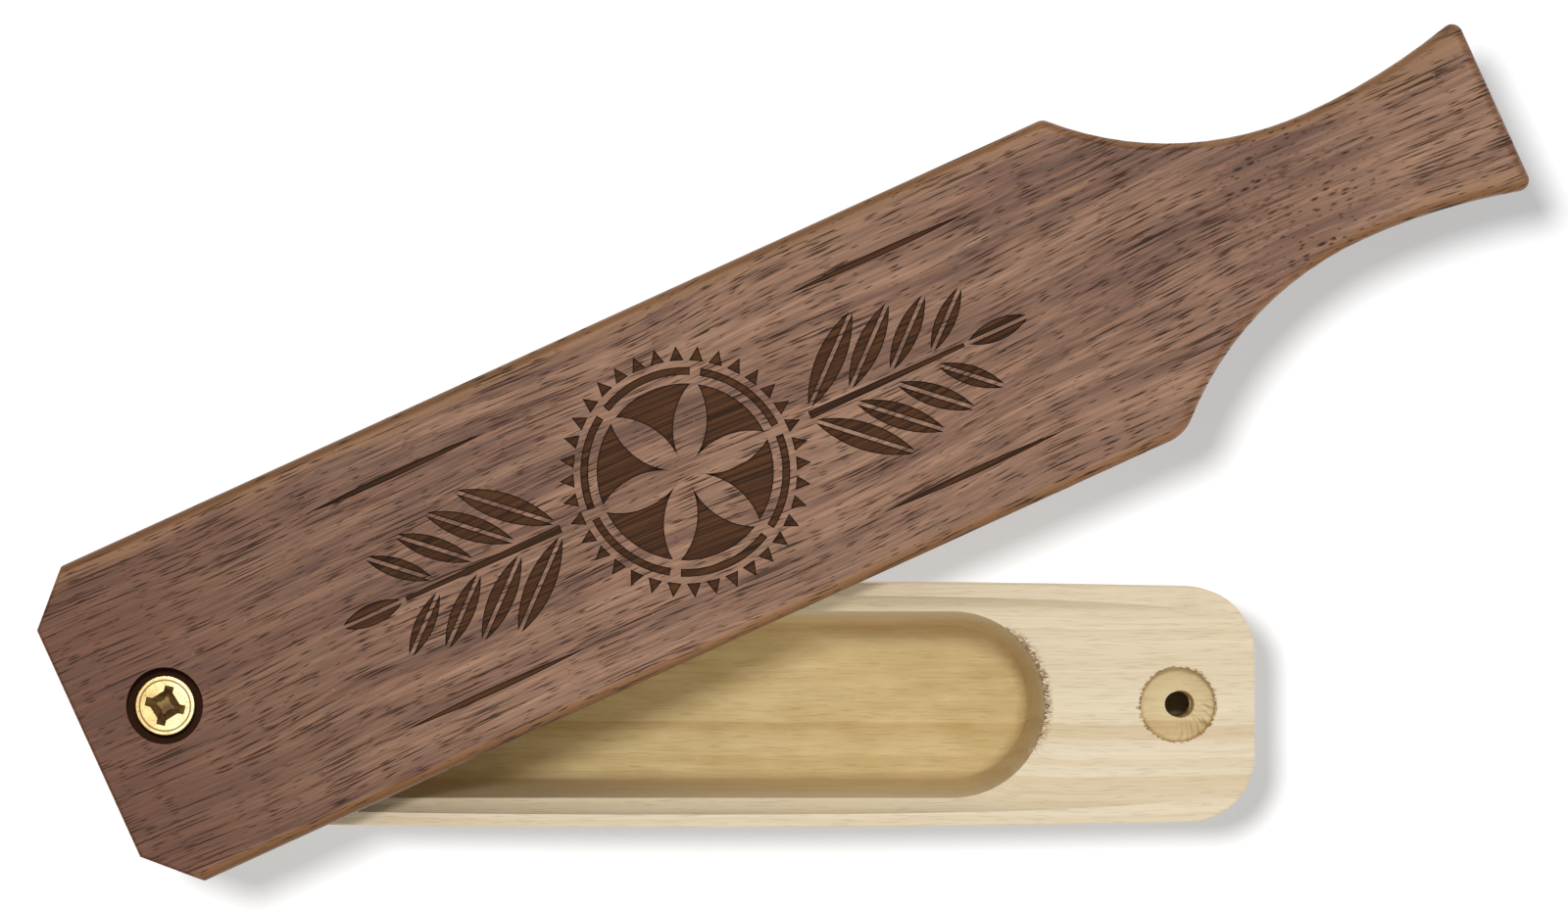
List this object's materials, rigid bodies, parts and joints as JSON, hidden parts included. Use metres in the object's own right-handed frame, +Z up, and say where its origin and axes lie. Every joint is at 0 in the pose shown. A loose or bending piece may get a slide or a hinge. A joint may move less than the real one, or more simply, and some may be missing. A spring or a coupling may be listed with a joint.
{
  "type": "box bird call",
  "caption": "Wooden box bird call: a milled pale sound box with bowed lips, under a sprung walnut paddle lid that swings on a brass screw.",
  "frame": {"origin": "on the sound box's flat underside, midway between its two pivot holes", "axes": "+X along the box from the lid's screw to the free end, +Z up, so +Y is the side to which the lid is swung"},
  "size_m": [0.2458, 0.1411, 0.0535],
  "materials": {
    "pale_wood": "bare sanded poplar",
    "walnut": "oiled satin walnut",
    "brass": "bright plated",
    "spring_steel": "drawn wire"
  },
  "bodies": {
    "box": {"box": "pale_wood", "pivot_screw": "brass"},
    "spring": {"lid_spring": "spring_steel"},
    "lid": {"paddle": "walnut"}
  },
  "joints": [
    {"name": "lid_swing", "type": "hinge", "parent": "box", "child": "spring", "pos_m": [-0.0836, 0, 0.0489], "axis": [0, 0, 1], "continuous": true},
    {"name": "lid_tilt", "type": "hinge", "parent": "spring", "child": "lid", "pos_m": [-0.08042, 0.00145, 0.0489], "axis": [0.4147, -0.91, 0], "range_deg": [0, 6], "stiffness_Nm_per_rad": 0.055, "springref_deg": -28.65, "deforming": ["lid_spring"]}
  ]
}
